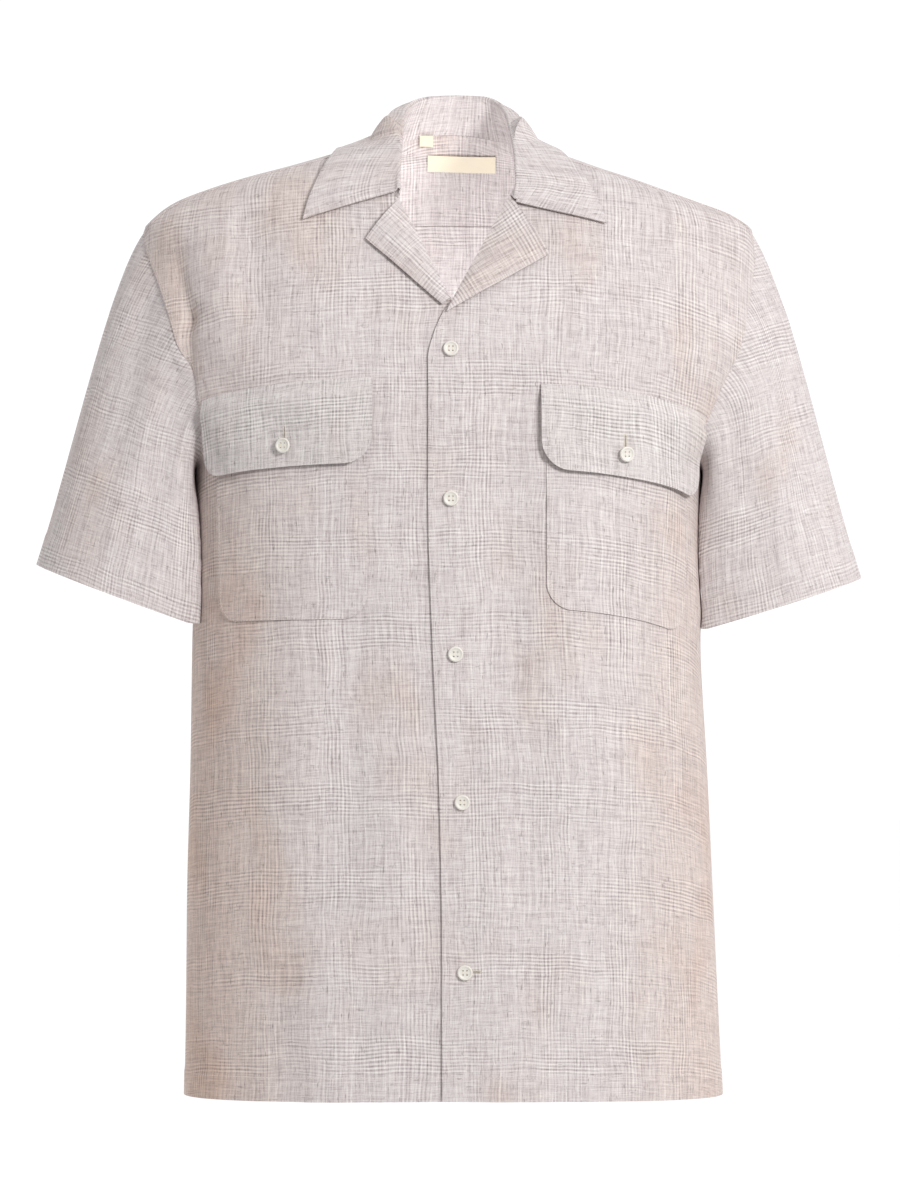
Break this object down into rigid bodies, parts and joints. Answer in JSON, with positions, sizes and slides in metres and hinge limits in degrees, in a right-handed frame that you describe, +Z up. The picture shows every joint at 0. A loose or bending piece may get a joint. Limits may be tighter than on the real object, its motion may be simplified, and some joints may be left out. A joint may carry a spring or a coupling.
{
  "type": "bowling shirt",
  "caption": "Short-sleeved linen bowling shirt with a camp collar, open lapels and flapped chest pockets, filled out and hollow, hung or worn at the shoulders.",
  "frame": {"origin": "on the body's centre line, level with the highest points of the shoulder seams by the neck", "axes": "+Z up along the body, -Y out of the shirt's front, +X to the wearer's left"},
  "size_m": [0.6345, 0.2529, 0.7742],
  "materials": {
    "linen": "plain weave check",
    "button": "satin",
    "label_cloth": "woven"
  },
  "bodies": {
    "root": {"front_right": "linen", "front_left": "linen", "back": "linen", "yoke": "linen", "sleeve_right": "linen", "sleeve_left": "linen", "collar": "linen", "front_facing_right": "linen", "front_facing_left": "linen", "pocket_right": "linen", "pocket_left": "linen", "pocket_flap_right": "linen", "pocket_flap_left": "linen", "pocket_button_right": "button", "pocket_button_left": "button", "front_button_1": "button", "front_button_2": "button", "front_button_3": "button", "front_button_4": "button", "front_button_5": "button", "neck_label": "label_cloth", "size_tab": "label_cloth"}
  },
  "joints": []
}
